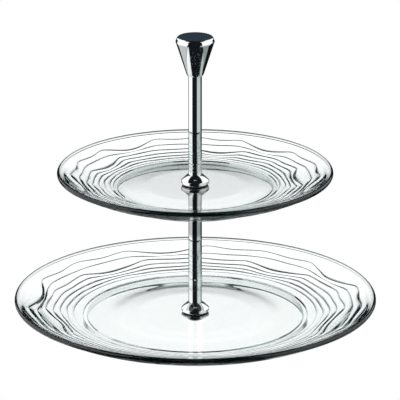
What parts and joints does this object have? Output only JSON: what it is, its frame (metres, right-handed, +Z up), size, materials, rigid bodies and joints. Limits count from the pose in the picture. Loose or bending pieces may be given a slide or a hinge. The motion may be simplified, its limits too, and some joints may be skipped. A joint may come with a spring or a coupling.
{
  "type": "tiered cake stand",
  "caption": "Tiered cake stand: round pressed-glass plates with a rippled rim, clamped one above the other on a chromed rod with a conical knob.",
  "frame": {"origin": "centre of the lower plate's foot ring, on the table it stands on", "axes": "+Z up along the rod, the axis of both plates; the stand is round, so +X and +Y are free"},
  "size_m": [0.28, 0.28, 0.2319],
  "materials": {
    "glass": "clear pressed soda-lime glass, polished, faint green tint",
    "chrome": "mirror chrome plate",
    "steel": "zinc-plated steel thread",
    "brass": "plain turned brass",
    "clear_plastic": "soft clear plastic"
  },
  "bodies": {
    "base": {"lower_plate": "glass", "lower_hole_bush": "clear_plastic", "lower_top_gasket": "clear_plastic", "lower_bottom_gasket": "clear_plastic"},
    "stem": {"lower_clamp_collar": "chrome", "lower_rod": "chrome", "lower_rod_bottom_insert": "brass", "lower_rod_top_insert": "brass", "upper_support_collar": "chrome", "upper_bottom_gasket": "clear_plastic", "coupling_stud": "steel"},
    "upper_tier": {"upper_plate": "glass", "upper_hole_bush": "clear_plastic"},
    "upper_clamp": {"upper_clamp_collar": "chrome", "upper_top_gasket": "clear_plastic"},
    "upper_stem": {"upper_rod": "chrome", "upper_rod_bottom_insert": "brass", "upper_rod_top_insert": "brass"},
    "knob_screw": {"knob_stud": "steel"},
    "knob": {"handle_knob": "chrome"},
    "washer": {"base_washer": "chrome"},
    "screw": {"base_screw": "steel"}
  },
  "joints": [
    {"name": "stem_turn", "type": "hinge", "parent": "base", "child": "stem", "pos_m": [0, 0, 0.0114], "axis": [0, 0, 1], "continuous": true},
    {"name": "upper_plate_turn", "type": "hinge", "parent": "stem", "child": "upper_tier", "pos_m": [0, 0, 0.1145], "axis": [0, 0, 1], "continuous": true},
    {"name": "upper_clamp_rise", "type": "slide", "parent": "stem", "child": "upper_clamp", "axis": [0, 0, 1], "range_m": [0, 0.008]},
    {"name": "upper_rod_unscrew", "type": "hinge", "parent": "upper_clamp", "child": "upper_stem", "pos_m": [0, 0, 0.1169], "axis": [0, 0, 1], "range_deg": [0, 2880]},
    {"name": "knob_rise", "type": "slide", "parent": "upper_stem", "child": "knob_screw", "axis": [0, 0, 1], "range_m": [0, 0.006]},
    {"name": "knob_unscrew", "type": "hinge", "parent": "knob_screw", "child": "knob", "pos_m": [0, 0, 0.2012], "axis": [0, 0, 1], "range_deg": [0, 2160]},
    {"name": "base_washer_drop", "type": "slide", "parent": "stem", "child": "washer", "axis": [0, 0, -1], "range_m": [0, 0.001]},
    {"name": "base_screw_unscrew", "type": "hinge", "parent": "washer", "child": "screw", "pos_m": [0, 0, 0.0042], "axis": [0, 0, -1], "range_deg": [0, 360]}
  ],
  "couplings": [
    {"joint": "upper_rod_unscrew", "follows": "upper_clamp_rise", "rad_per_m": 6283.2},
    {"joint": "knob_unscrew", "follows": "knob_rise", "rad_per_m": 6283.2},
    {"joint": "base_screw_unscrew", "follows": "base_washer_drop", "rad_per_m": 6283.2}
  ]
}
